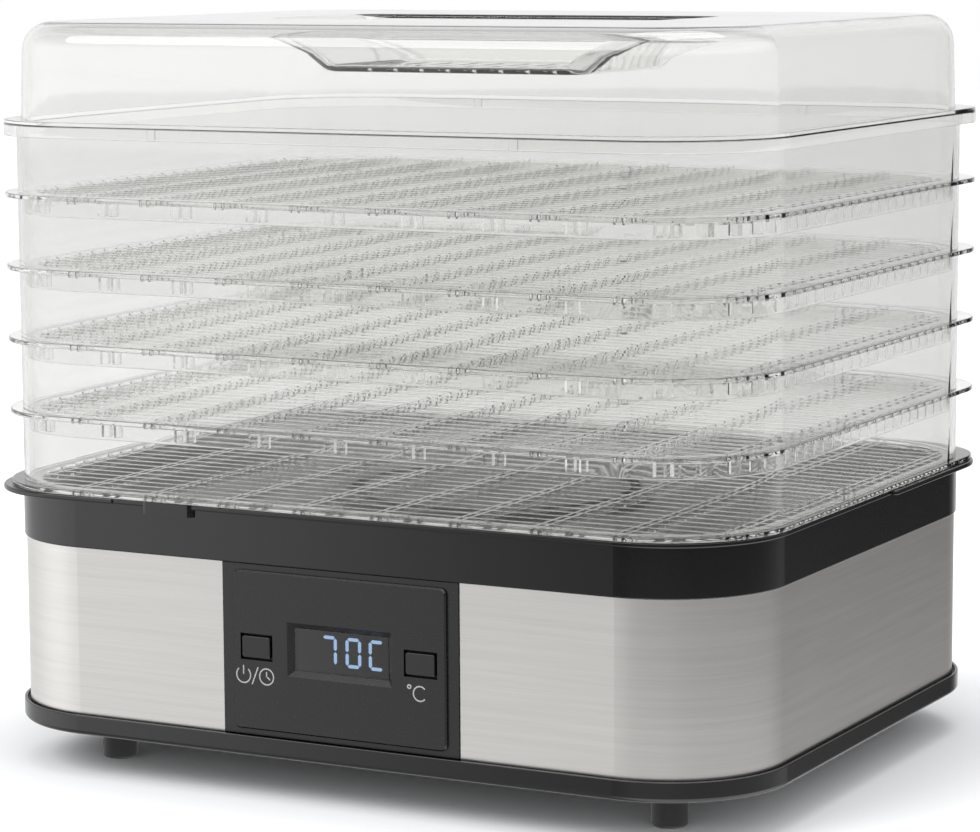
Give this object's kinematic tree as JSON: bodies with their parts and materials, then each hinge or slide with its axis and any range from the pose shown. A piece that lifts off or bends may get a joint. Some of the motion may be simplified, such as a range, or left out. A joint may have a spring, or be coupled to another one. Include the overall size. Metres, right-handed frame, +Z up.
{
  "type": "food dehydrator",
  "caption": "Rectangular food dehydrator: clear stacking trays and a clear lid with a moulded grip on a steel-wrapped, fan-heated base with a display and push buttons.",
  "frame": {"origin": "centre of the footprint, on the surface that the feet stand on", "axes": "+X to the right seen from the front, -Y to the front with the control panel, +Z up"},
  "size_m": [0.343, 0.273, 0.2995],
  "materials": {
    "clear_plastic": "clear, polished",
    "black_abs": "satin moulded",
    "panel_black": "semi-gloss moulded",
    "steel_sheet": "brushed along its length",
    "smoked_lens": "smoked, polished",
    "display_grey": "moulded",
    "circuit_board": "solder mask",
    "zinc_steel": "zinc plated",
    "motor_steel": "bright",
    "fan_plastic": "moulded",
    "mica": "laminated sheet",
    "heater_wire": "oxidised resistance wire",
    "component_black": "moulded",
    "component_blue": "moulded",
    "terminal_white": "moulded"
  },
  "bodies": {
    "base": {"base_housing": "black_abs", "bottom_cover": "black_abs", "steel_wrap": "steel_sheet", "control_panel": "panel_black", "display_lens": "smoked_lens", "display_module": "display_grey", "tact_switches": "component_black", "control_board": "circuit_board", "board_screws": "zinc_steel", "foot_front_left": "black_abs", "foot_front_right": "black_abs", "foot_back_left": "black_abs", "foot_back_right": "black_abs", "cover_screws": "zinc_steel", "motor_bracket": "zinc_steel", "fan_motor": "motor_steel", "motor_screws": "zinc_steel", "heater_frame": "mica", "heater_coil": "heater_wire", "heat_shield": "zinc_steel", "thermal_fuse": "zinc_steel", "temperature_sensor": "component_black", "outlet_guard": "black_abs", "supply_board": "circuit_board", "supply_posts": "terminal_white", "transformer": "component_black", "heater_relay": "component_blue", "filter_capacitors": "component_black", "terminal_block": "terminal_white", "cord_bush": "black_abs"},
    "tray_1": {"tray_1": "clear_plastic"},
    "tray_2": {"tray_2": "clear_plastic"},
    "tray_3": {"tray_3": "clear_plastic"},
    "tray_4": {"tray_4": "clear_plastic"},
    "tray_5": {"tray_5": "clear_plastic"},
    "lid": {"lid": "clear_plastic"},
    "power_timer_button": {"power_timer_button": "panel_black"},
    "temperature_button": {"temperature_button": "panel_black"},
    "fan": {"motor_shaft": "motor_steel", "fan_impeller": "fan_plastic"}
  },
  "joints": [
    {"name": "tray_1_lift", "type": "slide", "parent": "base", "child": "tray_1", "axis": [0, 0, 1], "range_m": [0, 0.06]},
    {"name": "tray_2_lift", "type": "slide", "parent": "tray_1", "child": "tray_2", "axis": [0, 0, 1], "range_m": [0, 0.06]},
    {"name": "tray_3_lift", "type": "slide", "parent": "tray_2", "child": "tray_3", "axis": [0, 0, 1], "range_m": [0, 0.06]},
    {"name": "tray_4_lift", "type": "slide", "parent": "tray_3", "child": "tray_4", "axis": [0, 0, 1], "range_m": [0, 0.06]},
    {"name": "tray_5_lift", "type": "slide", "parent": "tray_4", "child": "tray_5", "axis": [0, 0, 1], "range_m": [0, 0.06]},
    {"name": "lid_lift", "type": "slide", "parent": "tray_5", "child": "lid", "axis": [0, 0, 1], "range_m": [0, 0.08]},
    {"name": "power_timer_button_press", "type": "slide", "parent": "base", "child": "power_timer_button", "axis": [0, 1, 0], "range_m": [0, 0.0006], "stiffness_N_per_m": 800, "springref_m": -0.0003},
    {"name": "temperature_button_press", "type": "slide", "parent": "base", "child": "temperature_button", "axis": [0, 1, 0], "range_m": [0, 0.0006], "stiffness_N_per_m": 800, "springref_m": -0.0003},
    {"name": "fan_spin", "type": "hinge", "parent": "base", "child": "fan", "pos_m": [0, 0, 0.08], "axis": [0, 0, 1], "continuous": true}
  ]
}
